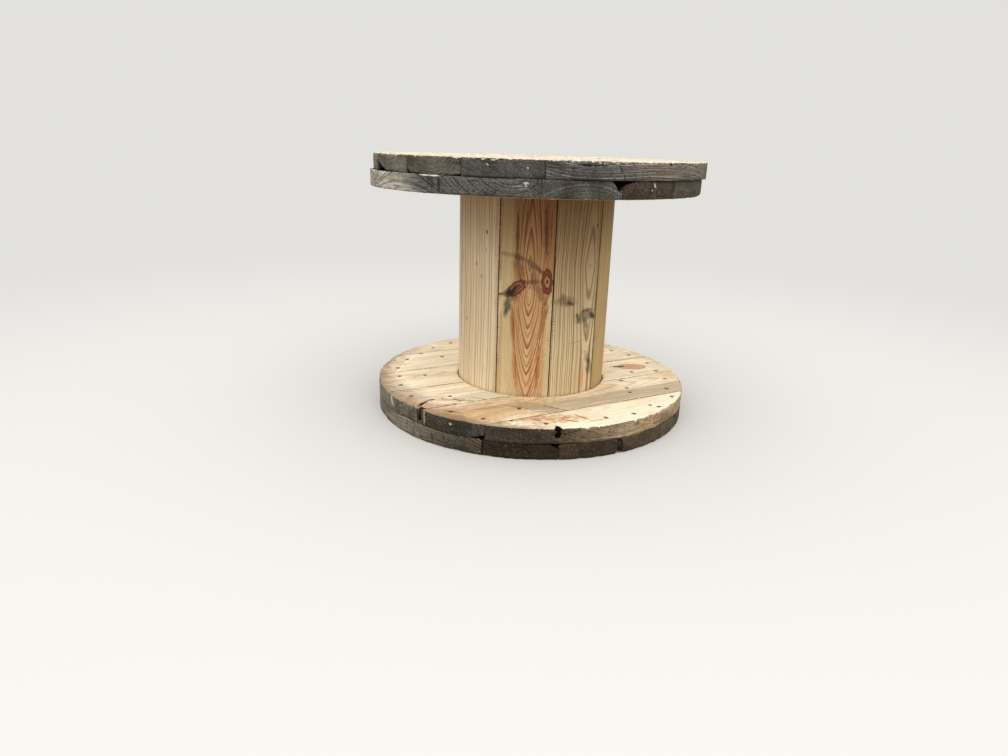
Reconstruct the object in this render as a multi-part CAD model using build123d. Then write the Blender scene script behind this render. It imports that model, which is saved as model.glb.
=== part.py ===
from build123d import *
import math
import os

# Wooden cable drum, standing on one flange. Millimetres, +Z up along the spindle axis.
# Origin: the middle of the underside of the lower flange.

# Flanges: two plies of sawn boards each, laid crosswise and cut round together.
FLANGE_RADIUS = 381.0
PLY_THICKNESS = 35.5
BOARD_WIDTH = 134.0
BOARD_GAP = 1.5
BOARD_EDGE_EASE = 2.0
TRAVERSE = 458.0

# The way each ply's boards run, measured from +X about the spindle axis, in degrees.
LOWER_INNER_ANGLE = 31.0
UPPER_OUTER_ANGLE = 46.5
CROSSING_ANGLE = 90.0

# The upper flange's inner ply was cut a little off centre, so the rim has a step.
UPPER_INNER_SHIFT = (-8.0, 0.0)

# Barrel: bevelled staves milled round outside, standing in a routed groove in each flange.
BARREL_RADIUS = 183.0
STAVE_THICKNESS = 36.0
STAVE_COUNT = 9
WIDE_STAVE_ANGLE = 44.0
FIRST_JOINT_ANGLE = -159.5
STAVE_GAP = 1.0
STAVE_EDGE_EASE = 1.5
GROOVE_DEPTH = 10.0
GROOVE_CLEARANCE = 2.5

# Spindle hole through each flange.
SPINDLE_HOLE_RADIUS = 39.7

# Breaks in the lower flange's inner ply at the rim: (angle from +X, width, height, reach inwards).
RIM_BREAKS = [
    (-80.2, 15.0, 23.0, 18.0),
    (-128.4, 10.0, 28.0, 14.0),
]

# Tie bolts: inside the barrel, with both ends sunk in counterbores in the outer plies.
BOLT_COUNT = 4
BOLT_RADIUS = 6.0
BOLT_HOLE_CLEARANCE = 1.0
BOLT_TO_GROOVE = 20.0
THREAD_CLEARANCE = 0.1
WASHER_RADIUS = 17.0
WASHER_THICKNESS = 3.0
WASHER_SIDES = 24
WASHER_BORE_CLEARANCE = 0.75
HEX_ACROSS_FLATS = 19.0
HEAD_THICKNESS = 7.5
NUT_THICKNESS = 10.0
HEX_CORNER_BEVEL = 1.2
THREAD_END = 3.0
NUT_SINK = 2.0
COUNTERBORE_CLEARANCE = 3.0

# Corners lost to bark edge and wear on the boards that show it:
# (board number, edge, face) gives (width, height) of the missing corner.
LOWER_OUTER_WANE = {
    (4, "high", "top"): (18.0, 11.0),
    (2, "low", "top"): (6.0, 7.0),
    (2, "high", "bottom"): (7.0, 12.0),
}
LOWER_INNER_WANE = {
    (4, "low", "bottom"): (28.0, 10.0),
}
UPPER_INNER_WANE = {
    (4, "high", "top"): (23.0, 17.0),
    (2, "low", "top"): (11.0, 10.0),
}
UPPER_OUTER_WANE = {
    (2, "low", "bottom"): (24.0, 4.0),
    (2, "high", "bottom"): (14.0, 12.0),
    (1, "high", "bottom"): (36.0, 24.0),
}

# Worked out from the values above.
FLANGE_THICKNESS = 2 * PLY_THICKNESS
DRUM_HEIGHT = TRAVERSE + 2 * FLANGE_THICKNESS
UPPER_FLANGE_Z = FLANGE_THICKNESS + TRAVERSE
BOARD_PITCH = BOARD_WIDTH + BOARD_GAP
LOWER_OUTER_ANGLE = LOWER_INNER_ANGLE - CROSSING_ANGLE
UPPER_INNER_ANGLE = UPPER_OUTER_ANGLE - CROSSING_ANGLE
STAVE_FLAT_RADIUS = BARREL_RADIUS - STAVE_THICKNESS
GROOVE_OUTER_RADIUS = BARREL_RADIUS + GROOVE_CLEARANCE
GROOVE_INNER_RADIUS = STAVE_FLAT_RADIUS - GROOVE_CLEARANCE
BOLT_CIRCLE_RADIUS = GROOVE_INNER_RADIUS - BOLT_TO_GROOVE
# midway between the board directions of the two flanges, so that no bolt meets a board joint
FIRST_BOLT_ANGLE = (LOWER_INNER_ANGLE + UPPER_OUTER_ANGLE + CROSSING_ANGLE) / 2
COUNTERBORE_RADIUS = WASHER_RADIUS + COUNTERBORE_CLEARANCE
COUNTERBORE_DEPTH = WASHER_THICKNESS + NUT_THICKNESS + THREAD_END + NUT_SINK

UPRIGHT = (Align.CENTER, Align.CENTER, Align.MIN)


def at_polar(radius, angle, z):
    """The place at this radius and angle from the spindle axis, turned to face outwards."""
    return Rot(0, 0, angle) * Pos(radius, 0, z)


def bolt_places(z):
    """One place for each tie bolt, at this height."""
    step = 360 / BOLT_COUNT
    return [at_polar(BOLT_CIRCLE_RADIUS, FIRST_BOLT_ANGLE + step * i, z) for i in range(BOLT_COUNT)]


def flange_cuts():
    """Everything that is bored or routed into the four plies."""
    cuts = [Cylinder(SPINDLE_HOLE_RADIUS, DRUM_HEIGHT, align=UPRIGHT)]
    ring = Cylinder(GROOVE_OUTER_RADIUS, GROOVE_DEPTH, align=UPRIGHT)
    ring -= Cylinder(GROOVE_INNER_RADIUS, GROOVE_DEPTH, align=UPRIGHT)
    cuts.append(Pos(0, 0, FLANGE_THICKNESS - GROOVE_DEPTH) * ring)
    cuts.append(Pos(0, 0, UPPER_FLANGE_Z) * ring)
    hole = Cylinder(BOLT_RADIUS + BOLT_HOLE_CLEARANCE, DRUM_HEIGHT, align=UPRIGHT)
    sink = Cylinder(COUNTERBORE_RADIUS, COUNTERBORE_DEPTH, align=UPRIGHT)
    cuts += [place * hole for place in bolt_places(0)]
    cuts += [place * sink for place in bolt_places(0)]
    cuts += [place * sink for place in bolt_places(DRUM_HEIGHT - COUNTERBORE_DEPTH)]
    return cuts


def board_section(low, wane):
    """A board's end outline, with its long edges eased and its lost corners cut away."""
    high = low + BOARD_WIDTH
    ease = (BOARD_EDGE_EASE, BOARD_EDGE_EASE)
    corners = [
        (low, 0, 1, 1, wane.get(("low", "bottom"), ease)),
        (high, 0, -1, 1, wane.get(("high", "bottom"), ease)),
        (high, PLY_THICKNESS, -1, -1, wane.get(("high", "top"), ease)),
        (low, PLY_THICKNESS, 1, -1, wane.get(("low", "top"), ease)),
    ]
    points = []
    for x, y, side, lift, (width, height) in corners:
        along_face = (x + side * width, y)
        along_edge = (x, y + lift * height)
        points += [along_edge, along_face] if side * lift > 0 else [along_face, along_edge]
    return Polygon(*points, align=None)


def ply(name, z, angle, shift, wanes, cuts):
    """The boards of one ply, sawn to the flange's round outline and then bored and grooved."""
    across = Vector(1, 0, 0).rotate(Axis.Z, angle + 90)
    along = Vector(1, 0, 0).rotate(Axis.Z, angle)
    end_plane = Plane(origin=(0, 0, z), x_dir=across, z_dir=along)
    reach = FLANGE_RADIUS + math.hypot(*shift)
    per_side = math.ceil(reach / BOARD_PITCH)
    round_saw = Pos(shift[0], shift[1], z) * Cylinder(FLANGE_RADIUS, PLY_THICKNESS, align=UPRIGHT)
    boards = {}
    for row in range(-per_side, per_side):
        # numbered outwards from the axis, odd on one side of it and even on the other
        number = 2 * row + 1 if row >= 0 else -2 * row
        low = row * BOARD_PITCH + BOARD_GAP / 2
        wane = {key[1:]: size for key, size in wanes.items() if key[0] == number}
        section = board_section(low, wane)
        board = extrude(end_plane * section, amount=reach, both=True) & round_saw
        for cut in cuts:
            board -= cut
        boards[f"{name}_board_{number}"] = board
    return boards


def stave(sweep):
    """One stave, its crown on +X: a round back, a flat inside and two bevelled edges."""
    half = math.radians(sweep / 2)
    edge = Vector(math.cos(half), math.sin(half))
    inset = Vector(math.sin(half), -math.cos(half)) * (STAVE_GAP / 2)
    outer = edge * math.sqrt(BARREL_RADIUS**2 - (STAVE_GAP / 2) ** 2) + inset
    inner = edge * ((STAVE_FLAT_RADIUS - inset.X) / edge.X) + inset
    outline = Curve() + [
        Line((inner.X, -inner.Y), (outer.X, -outer.Y)),
        ThreePointArc((outer.X, -outer.Y), (BARREL_RADIUS, 0), (outer.X, outer.Y)),
        Line((outer.X, outer.Y), (inner.X, inner.Y)),
        Line((inner.X, inner.Y), (inner.X, -inner.Y)),
    ]
    bar = extrude(make_face(outline), amount=TRAVERSE + 2 * GROOVE_DEPTH)
    back_edges = bar.edges().filter_by(Axis.Z).sort_by(Axis.X)[-2:]
    return chamfer(back_edges, STAVE_EDGE_EASE)


def staves():
    """The ring of staves, one of them wider than the rest."""
    usual = (360 - WIDE_STAVE_ANGLE) / (STAVE_COUNT - 1)
    sweeps = [WIDE_STAVE_ANGLE] + [usual] * (STAVE_COUNT - 1)
    ring = {}
    start = FIRST_JOINT_ANGLE
    for number, sweep in enumerate(sweeps, 1):
        place = Pos(0, 0, FLANGE_THICKNESS - GROOVE_DEPTH) * Rot(0, 0, start + sweep / 2)
        ring[f"stave_{number}"] = place * stave(sweep)
        start += sweep
    return ring


def hexagon(thickness):
    """A hexagonal blank."""
    return extrude(RegularPolygon(HEX_ACROSS_FLATS / 2, 6, major_radius=False), amount=thickness)


def bolt_head():
    """A hexagonal head with its corners turned off at the top face."""
    corner_radius = HEX_ACROSS_FLATS / math.sqrt(3)
    turned = Cylinder(corner_radius, HEAD_THICKNESS, align=UPRIGHT)
    turned = chamfer(turned.edges().sort_by(Axis.Z)[-1], HEX_CORNER_BEVEL)
    return hexagon(HEAD_THICKNESS) & turned


def washer():
    """A plain steel washer, its round outline drawn with few sides."""
    rim = RegularPolygon(WASHER_RADIUS, WASHER_SIDES)
    bore = RegularPolygon(BOLT_RADIUS + WASHER_BORE_CLEARANCE, WASHER_SIDES)
    return extrude(rim - bore, amount=WASHER_THICKNESS)


def tie_bolts():
    """Bolts from the upper flange's face to the lower one's, each with two washers and a nut."""
    upper_seat = DRUM_HEIGHT - COUNTERBORE_DEPTH
    head_seat = upper_seat + WASHER_THICKNESS
    nut_seat = COUNTERBORE_DEPTH - WASHER_THICKNESS
    bolt_end = nut_seat - NUT_THICKNESS - THREAD_END
    shank = Cylinder(BOLT_RADIUS, head_seat - bolt_end, align=UPRIGHT)
    bolt = Pos(0, 0, bolt_end) * shank + Pos(0, 0, head_seat) * bolt_head()
    nut = hexagon(NUT_THICKNESS)
    nut -= Cylinder(BOLT_RADIUS + THREAD_CLEARANCE, NUT_THICKNESS, align=UPRIGHT)
    nut = Pos(0, 0, nut_seat - NUT_THICKNESS) * nut
    pieces = {}
    for number, place in enumerate(bolt_places(0), 1):
        pieces[f"tie_bolt_{number}"] = place * bolt
        pieces[f"tie_bolt_nut_{number}"] = place * nut
        pieces[f"lower_washer_{number}"] = place * Pos(0, 0, nut_seat) * washer()
        pieces[f"upper_washer_{number}"] = place * Pos(0, 0, upper_seat) * washer()
    return pieces


def drum():
    """Every piece of the drum, by name."""
    cuts = flange_cuts()
    breaks = [
        at_polar(FLANGE_RADIUS, angle, FLANGE_THICKNESS) * Box(2 * reach, width, 2 * height)
        for angle, width, height, reach in RIM_BREAKS
    ]
    centred = (0.0, 0.0)
    pieces = ply("lower_outer", 0, LOWER_OUTER_ANGLE, centred, LOWER_OUTER_WANE, cuts)
    pieces |= ply(
        "lower_inner", PLY_THICKNESS, LOWER_INNER_ANGLE, centred, LOWER_INNER_WANE, cuts + breaks
    )
    pieces |= staves()
    pieces |= ply(
        "upper_inner", UPPER_FLANGE_Z, UPPER_INNER_ANGLE, UPPER_INNER_SHIFT, UPPER_INNER_WANE, cuts
    )
    pieces |= ply(
        "upper_outer", UPPER_FLANGE_Z + PLY_THICKNESS, UPPER_OUTER_ANGLE, centred, UPPER_OUTER_WANE, cuts
    )
    pieces |= tie_bolts()
    return pieces


os.makedirs("parts", exist_ok=True)
for node, piece in drum().items():
    export_step(piece, f"parts/{node}.step")
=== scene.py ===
import math
import random

import bmesh
import bpy
from mathutils import Matrix, Vector, noise


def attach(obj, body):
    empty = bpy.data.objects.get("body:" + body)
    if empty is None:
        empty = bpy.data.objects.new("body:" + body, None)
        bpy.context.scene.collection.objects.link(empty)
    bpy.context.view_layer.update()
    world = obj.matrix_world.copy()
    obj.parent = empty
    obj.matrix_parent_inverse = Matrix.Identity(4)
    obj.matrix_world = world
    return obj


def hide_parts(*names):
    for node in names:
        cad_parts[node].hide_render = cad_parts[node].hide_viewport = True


# A wooden cable drum: two round flanges of crossed boards, a barrel of staves between them,
# and four tie bolts. Metres, +Z up along the spindle axis, with the front towards -Y.
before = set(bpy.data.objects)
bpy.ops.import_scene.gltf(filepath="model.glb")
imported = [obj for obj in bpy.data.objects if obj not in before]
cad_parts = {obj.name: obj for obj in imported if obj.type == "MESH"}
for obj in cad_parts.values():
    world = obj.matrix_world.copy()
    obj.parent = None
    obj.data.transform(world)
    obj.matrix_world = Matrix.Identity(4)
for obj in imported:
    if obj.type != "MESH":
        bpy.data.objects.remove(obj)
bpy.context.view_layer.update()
scene = bpy.context.scene
scene.view_settings.view_transform = "Standard"

# Lower flange, outer ply. Six rough-sawn softwood boards side by side, sawn round together.
# The rim has gone grey in the weather and is dark with dirt where rain splashes it, with
# checks in the end grain and chipped corners.
FLANGE_RADIUS = 0.381
PLY_THICKNESS = 0.0355
BOARD_PITCH = 0.1355
LOWER_OUTER_TURN = math.radians(-59.0)


def colour(red, green, blue):
    """A colour from its levels, written in the usual way from 0 to 255."""
    levels = [level / 255 for level in (red, green, blue)]
    return [l / 12.92 if l < 0.04045 else ((l + 0.055) / 1.055) ** 2.4 for l in levels] + [1.0]


class Finish:
    """A procedural finish. Each method adds the nodes of one effect and gives its output. Tones
    are given by their levels from 0 to 255."""

    def __init__(self, name, store=bpy.data.materials):
        self.owner = store.new(name)
        self.owner.use_nodes = True
        self.tree = self.owner.node_tree
        self.tree.nodes.clear()
        self.place = self.add("TexCoord", out="Object")
        self.grit = self.minus(self.mottle(self.place, (90, 90, 90)), 0.5)

    def add(self, kind, *values, out=0, **settings):
        """One node, with its inputs set or linked in order."""
        made = self.tree.nodes.new("ShaderNode" + kind)
        for name, value in settings.items():
            setattr(made, name, value)
        sockets = [socket for socket in made.inputs if socket.enabled]
        for socket, value in zip(sockets, values):
            if isinstance(value, bpy.types.NodeSocket):
                self.tree.links.new(value, socket)
            elif value is not None:
                socket.default_value = value
        if isinstance(out, str):
            return made.outputs[out]
        return [socket for socket in made.outputs if socket.enabled][out]

    def math(self, operation, *values):
        return self.add("Math", *values, operation=operation)

    def times(self, first, second):
        return self.math("MULTIPLY", first, second)

    def times_plus(self, first, second, third):
        return self.math("MULTIPLY_ADD", first, second, third)

    def minus(self, first, second):
        return self.math("SUBTRACT", first, second)

    def vector(self, operation, *values):
        return self.add("VectorMath", *values, operation=operation)

    def parts(self, vector):
        return self.add("SeparateXYZ", vector).node.outputs

    def rise(self, value, low, high, most=1.0):
        """0 up to low, the most from high on, and a soft rise between them."""
        return self.add("MapRange", value, low, high, 0.0, most, interpolation_type="SMOOTHSTEP")

    def mottle(self, vector, stretch, seed=0.0, detail=3.0, out="Fac"):
        """Noise with so many blotches per metre along each axis."""
        moved = self.vector("MULTIPLY_ADD", vector, stretch, (seed, seed * 0.7, seed * 1.3))
        return self.add("TexNoise", moved, 1.0, detail, 0.6, out=out)

    def line_noise(self, value):
        return self.add("TexNoise", value, 1.0, 1.0, noise_dimensions="1D")

    def blend(self, factor, first, second, kind="MIX"):
        tones = [colour(*tone) if isinstance(tone, tuple) else tone for tone in (first, second)]
        return self.add("Mix", factor, *tones, data_type="RGBA", blend_type=kind)

    def shade(self, factor, first, second):
        """The first colour, multiplied by the second where the factor is 1."""
        return self.blend(factor, first, second, "MULTIPLY")

    def spot(self, vector, centre, half_sizes, turn=0.0, wobble=0.0):
        """How far a point is from a long mark's middle, with 1 at the mark's outline."""
        endless = 1000.0
        placed = vector, (*centre, 0.0), (0, 0, turn), (*half_sizes, endless)
        local = self.add("Mapping", *placed, vector_type="TEXTURE")
        return self.times_plus(self.grit, wobble, self.vector("LENGTH", local))

    def streak(self, vector, start, end, half_width, wobble):
        """The same for a straight mark that runs from one place to another."""
        run = Vector(end) - Vector(start)
        middle = (Vector(start) + Vector(end)) / 2
        sizes = (run.length / 2 + half_width, half_width)
        return self.spot(vector, middle, sizes, math.atan2(run.y, run.x), wobble)

    def patch(self, near, amount, base, tone, soft=0.5):
        """Lays a mark over the colour beneath it, fading out over its outer part."""
        return self.blend(self.rise(near, 1.0, 1.0 - soft, amount), base, tone)

    def nested(self, near, base, rows):
        """Lays marks inside one another: how many times smaller, strength, tone and softness."""
        for smaller, strength, tone, soft in rows:
            base = self.patch(self.times(near, smaller), strength, base, tone, soft)
        return base

    def scratches(self, vector, base, rows, wobble, soft=0.5, radius=None, middle=0.0, tint=False):
        """Lays straight marks over a colour. A row has the two ends and the half width in mm, the
        tone and the strength. On a round surface an end is an angle, less that of the surface's
        middle, and a height. A tint lets the grain beneath it show."""
        for *ends, half_width, tone, strength in rows:
            places = [
                (math.radians(x - middle) * radius if radius else x / 1000, y / 1000)
                for x, y in (ends[:2], ends[2:])
            ]
            near = self.streak(vector, *places, half_width / 1000, wobble)
            if tint:
                base = self.shade(self.rise(near, 1.1, 0.2, strength), base, tone)
            else:
                base = self.patch(near, strength, base, tone, soft)
        return base

    def rings(self, space, spacing, wander, seed, knots=()):
        """Growth rings about the pith along X: their shade from 0 to 1, and the bent space."""
        bent = space
        for stretch, start, detail, amount in (
            ((1.6, 5, 5), seed, 1.0, wander),
            ((9, 110, 110), seed + 3, 2.0, 0.0018),
        ):
            drift = self.mottle(space, stretch, start, detail, out="Color")
            drift = self.vector("SUBTRACT", drift, (0.5,) * 3)
            bent = self.vector("ADD", bent, self.vector("MULTIPLY", drift, (0, amount, amount)))
        from_pith = self.vector("LENGTH", self.vector("MULTIPLY", bent, (0, 1, 1)))
        count = self.math("DIVIDE", from_pith, spacing)
        for near, push in knots:
            count = self.times_plus(self.minus(1.0, self.rise(near, 0, 2.6)), push, count)
        count = self.times_plus(self.line_noise(self.times(count, 0.45)), 1.6, count)
        phase = self.math("FRACT", count)
        late = self.rise(phase, 0.35, 0.85, self.rise(phase, 1, 0.9))
        strength = self.line_noise(self.times_plus(count, 0.8, 7))
        return self.times(late, self.add("MapRange", strength, 0.3, 0.62, 0.4, 1.1)), bent

    def checks(self, bent, seed, per_turn=16.0, width=0.0008, cover=0.5):
        """Drying cracks that run out from the pith: 1 inside a crack."""
        _, across, up = self.parts(bent)
        turn = self.times(self.math("ARCTAN2", up, across), per_turn / math.tau)
        drift = self.mottle(bent, (5, 12, 12), seed + 9, 2.0)
        turn = self.math("ADD", turn, self.times_plus(drift, 0.5, seed))
        edge = self.add(
            "TexVoronoi", turn, 1.0, voronoi_dimensions="1D", feature="DISTANCE_TO_EDGE"
        )
        far = self.times(edge, math.tau / per_turn)
        far = self.times(far, self.vector("LENGTH", self.vector("MULTIPLY", bent, (0, 1, 1))))
        where = self.mottle(bent, (9, 34, 34), seed + 5, 2.0)
        return self.rise(far, width, width * 0.2, self.rise(where, cover, cover + 0.12))

    def end(self, shader, kind="OutputMaterial"):
        """Sends a shader to the output, and gives what the finish was made for."""
        output = self.tree.nodes.new("ShaderNode" + kind)
        self.tree.links.new(shader, output.inputs[0])
        return self.owner

    def finish(self, base, roughness, height, specular=0.25, metallic=0.0):
        """The surface itself. Height is in millimetres."""
        surface = self.tree.nodes.new("ShaderNodeBsdfPrincipled")
        surface.inputs["Specular IOR Level"].default_value = specular
        surface.inputs["Metallic"].default_value = metallic
        normal = self.add("Bump", 1.0, 0.001, None, height)
        for name, output in (("Base Color", base), ("Roughness", roughness), ("Normal", normal)):
            self.tree.links.new(output, surface.inputs[name])
        return self.end(surface.outputs[0])


def lighter(tone, by):
    """A tone's colour, made lighter or darker."""
    return [min(1.0, level * by) for level in colour(*tone)[:3]] + [1.0]


def board_finish(name, turn, face_z, centre, board, nails, seed):
    """One board's wood: clean or bleached on its open face, weathered on the rim and edges."""
    wood = Finish(name)
    across, up = board["pith"]
    space = wood.add("Mapping", wood.place, (0, -across, -up), (0, 0, -turn))
    along = wood.parts(space)["X"]
    taper = wood.add("CombineXYZ", 0.0, 0.0, wood.times(along, board.get("lean", 0.045)))
    space = wood.vector("ADD", space, taper)
    late, bent = wood.rings(space, board["spacing"], board.get("wander", 0.006), seed)
    fibre = wood.mottle(bent, (11, 420, 420), seed, 2.0)
    streaks = wood.mottle(bent, (2, 70, 70), seed + 1)
    blotch = wood.mottle(space, (5, 18, 18), seed + 2)
    speck = wood.mottle(wood.place, (330, 330, 330), seed + 4, 1.0)

    around = wood.add("Mapping", wood.place, (-centre[0], -centre[1], 0.0))
    parts = wood.parts(around)
    radius = wood.vector("LENGTH", wood.vector("MULTIPLY", around, (1, 1, 0)))
    angle = wood.math("ARCTAN2", parts["X"], wood.times(parts["Y"], -1.0))
    skin = wood.add("CombineXYZ", wood.times(angle, FLANGE_RADIUS), parts["Z"], 0.0)
    saw = wood.mottle(skin, (230, 9, 1), seed, 2.0)
    split = wood.mottle(skin, (16, 300, 1), seed + 8, 4.0)

    early, latewood = board["face"]
    face = wood.blend(wood.times(late, board.get("contrast", 0.75)), early, latewood)
    face = wood.shade(wood.rise(streaks, 0.42, 0.7, 0.55), face, (232, 212, 182))
    face = wood.blend(wood.rise(streaks, 0.45, 0.28, 0.5), face, lighter(early, 1.12))
    face = wood.shade(wood.rise(fibre, 0.5, 0.75, 0.5), face, (205, 180, 150))
    grey = wood.rise(blotch, 0.48, 0.72, board["greying"])
    face = wood.blend(grey, face, board.get("grey", (158, 142, 118)))
    dirt = wood.rise(wood.mottle(wood.place, (150, 150, 60), seed + 5, 2.0), 0.62, 0.74)
    face = wood.blend(wood.times(dirt, 0.35), face, (150, 122, 88))
    if "marks" in board:
        face = board["marks"](wood, along, radius, face)
    unstained = 9.0
    near = unstained
    for place in nails:
        near = wood.math("MINIMUM", near, wood.spot(wood.place, place, (0.008, 0.008), 0.0, 0.9))
    face = wood.patch(near, board.get("stain", 0.75), face, (92, 66, 44), 0.6)

    low_tone, high_tone, start, end = board["rim"]
    place = wood.rise(along, start, end)
    rim = wood.blend(place, low_tone, high_tone)
    # Painted highlight: the raised latewood ridges of the weathered rim are drawn lighter.
    ridge = board.get("ridge", 0.4)
    if ridge > 0:
        rim = wood.blend(wood.rise(late, 0.4, 0.95, ridge), rim, lighter(low_tone, 1.8))
    worn = wood.rise(late, 0.75, 0.1) if ridge > 0 else wood.rise(late, 0.3, 0.9)
    for factor, tone in (
        (wood.times(worn, board.get("eroded", 0.4)), (150, 142, 132)),
        (wood.rise(blotch, 0.4, 0.7), (186, 178, 166)),
        (wood.rise(saw, 0.45, 0.7, 0.3), (160, 152, 142)),
        (wood.rise(fibre, 0.45, 0.65, 0.7), (150, 142, 132)),
        (wood.rise(split, 0.42, 0.3, 0.8), (120, 110, 100)),
    ):
        rim = wood.shade(factor, rim, tone)
    rim = wood.blend(wood.rise(split, 0.6, 0.74, 0.4), rim, lighter(low_tone, 1.9))
    rim = wood.blend(wood.rise(speck, 0.67, 0.77, 0.45), rim, (176, 170, 156))
    # Painted shade, with some dirt: the rim is darker deep in the breaks and in the gaps between
    # boards.
    gap_shade_and_dirt = wood.rise(radius, FLANGE_RADIUS - 0.0035, FLANGE_RADIUS - 0.008)
    rim = wood.shade(gap_shade_and_dirt, rim, (72, 58, 48))
    rim = wood.scratches(skin, rim, board.get("rim_marks", ()), 2.2, radius=FLANGE_RADIUS)

    depth = wood.math("ABSOLUTE", wood.minus(parts["Z"], face_z))
    least, most = board.get("frayed", (0.001, 0.001))
    ragged = wood.rise(wood.mottle(skin, (110, 170, 1), seed + 6, 3.0), 0.46, 0.8)
    deepest = wood.times_plus(place, most - least, least)
    depth = wood.minus(depth, wood.times(ragged, deepest))
    on_face = wood.rise(depth, 0.0016, 0.0006)
    base = wood.blend(on_face, rim, face)
    cracks = wood.checks(bent, seed)
    cracks = wood.times(cracks, wood.times_plus(on_face, -0.7, 0.9))
    base = wood.shade(cracks, base, (60, 48, 38))

    relief = wood.times(late, wood.times_plus(on_face, -0.2, 0.35))
    relief = wood.times_plus(fibre, wood.times_plus(on_face, -0.3, 0.7), relief)
    relief = wood.times_plus(saw, wood.times_plus(on_face, -0.1, 0.1), relief)
    relief = wood.times_plus(split, wood.times_plus(on_face, -0.9, 0.9), relief)
    relief = wood.times_plus(cracks, -1.2, relief)
    return wood.finish(base, wood.times_plus(fibre, 0.15, 0.74), relief, specular=0.2)


MERGED = 1e-5


def board_blank(node, turn):
    """A board's own shape, its loose triangles joined, laid with its grain along X."""
    bm = bmesh.new()
    bm.from_mesh(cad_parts[node].data)
    bmesh.ops.remove_doubles(bm, verts=bm.verts, dist=MERGED)
    flat = math.radians(0.5)
    bmesh.ops.dissolve_limit(bm, angle_limit=flat, verts=bm.verts, edges=bm.edges)
    bmesh.ops.rotate(bm, verts=bm.verts, matrix=Matrix.Rotation(-turn, 3, "Z"))
    return bm


def divide(bm, direction, spacing):
    """Divides a piece with flat cuts square to a direction, evenly spaced along it."""
    reach = [vert.co.dot(direction) for vert in bm.verts]
    low, high = min(reach), max(reach)
    count = max(1, round((high - low) / spacing))
    for step in range(1, count):
        place = direction * (low + (high - low) * step / count)
        everything = bm.verts[:] + bm.edges[:] + bm.faces[:]
        bmesh.ops.bisect_plane(
            bm, geom=everything, dist=MERGED, plane_co=place, plane_no=direction
        )


def weather_edges(bm, centre, bottom, face_z, seed, fray):
    """Wears the edges between the rim, the faces and the board's long sides, more in some places,
    and frays the edge where the rim meets the open face."""
    wear, reach, divided, touching, rim_wall = 0.0022, 0.007, 0.009, 3e-4, 0
    near_edge = []
    for edge in bm.edges:
        middle = (edge.verts[0].co + edge.verts[1].co) / 2
        spoke = math.hypot(middle.x - centre.x, middle.y - centre.y)
        if FLANGE_RADIUS - spoke < divided and abs(middle.z - face_z) < divided:
            near_edge.append(edge)
    bmesh.ops.subdivide_edges(bm, edges=near_edge, cuts=1, use_grid_fill=True)
    sides = [vert.co.y for vert in bm.verts]
    low, high = min(sides), max(sides)
    for vert in bm.verts:
        spoke = Vector((vert.co.x - centre.x, vert.co.y - centre.y, 0))
        walls = sorted([
            (FLANGE_RADIUS - spoke.length, rim_wall, -spoke.normalized()),
            (bottom + PLY_THICKNESS - vert.co.z, 1, Vector((0, 0, -1))),
            (vert.co.z - bottom, 2, Vector((0, 0, 1))),
            (vert.co.y - low, 3, Vector((0, 1, 0))),
            (high - vert.co.y, 4, Vector((0, -1, 0))),
        ])
        (first, first_wall, first_in), (second, second_wall, second_in) = walls[:2]
        if first > touching or second > reach:
            continue
        spread = Vector((vert.co.x * 35, vert.co.y * 90, vert.co.z * 90))
        grit = noise.noise(spread + Vector((seed, 0, 0)))
        lump = noise.noise(Vector((vert.co.x * 9, vert.co.y * 14, seed * 2.0)))
        worn = wear * max(0.0, 0.35 + 0.5 * grit + 0.8 * lump)
        if rim_wall not in (first_wall, second_wall):
            worn *= 0.3
        elif abs(vert.co.z - face_z) < reach:
            torn = noise.noise(Vector((vert.co.x * 70, vert.co.y * 70, seed)))
            worn += fray * max(0.0, torn)
        vert.co += (first_in + second_in) * worn * (1 - second / reach) ** 2


def tear_notch(bm, centre, angle, seed):
    """Roughens the walls of a place where the rim has broken away."""
    inset, around, half_width, half_depth = 0.008, 0.019, 0.014, 0.012
    out = Vector((math.sin(angle), -math.cos(angle), 0))
    middle = centre + out * (FLANGE_RADIUS - inset)
    near = [
        edge
        for edge in bm.edges
        if all(math.hypot(v.co.x - middle.x, v.co.y - middle.y) < around for v in edge.verts)
    ]
    bmesh.ops.subdivide_edges(bm, edges=near, cuts=1, use_grid_fill=True)
    sideways = Vector((-out.y, out.x, 0))
    for vert in bm.verts:
        off = Vector((vert.co.x - middle.x, vert.co.y - middle.y, 0))
        aside = off.dot(sideways)
        spoke = math.hypot(vert.co.x - centre.x, vert.co.y - centre.y)
        if spoke > FLANGE_RADIUS + 1e-4 or abs(aside) > half_width:
            continue
        if abs(FLANGE_RADIUS - inset - spoke) < half_depth:
            if 0.003 < abs(aside) < 0.007:
                vert.co += sideways * math.copysign(0.0024, aside)
            grit = noise.noise(vert.co * 120 + Vector((seed, 0, 0)))
            vert.co += sideways * grit * 0.007
            vert.co -= out * max(0.0, noise.noise(vert.co * 90 - Vector((seed, 0, 0)))) * 0.006


def chip_corner(bm, centre, bottom, first, last, depth):
    """Breaks a corner off the rim, deepest at the first angle: from the top down, or, with
    a depth below 0, from the bottom up."""
    rim_depth = 0.03
    for vert in bm.verts:
        off = Vector((vert.co.x - centre.x, vert.co.y - centre.y))
        share = 1 - (math.atan2(off.x, -off.y) - first) / (last - first)
        if off.length < FLANGE_RADIUS - rim_depth or not 0 < share < 1.05:
            continue
        share = min(1.0, share) + 0.2 * noise.noise(vert.co * 130)
        if depth > 0:
            vert.co.z = min(vert.co.z, bottom + PLY_THICKNESS - depth * share)
        else:
            vert.co.z = max(vert.co.z, bottom - depth * share)


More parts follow.
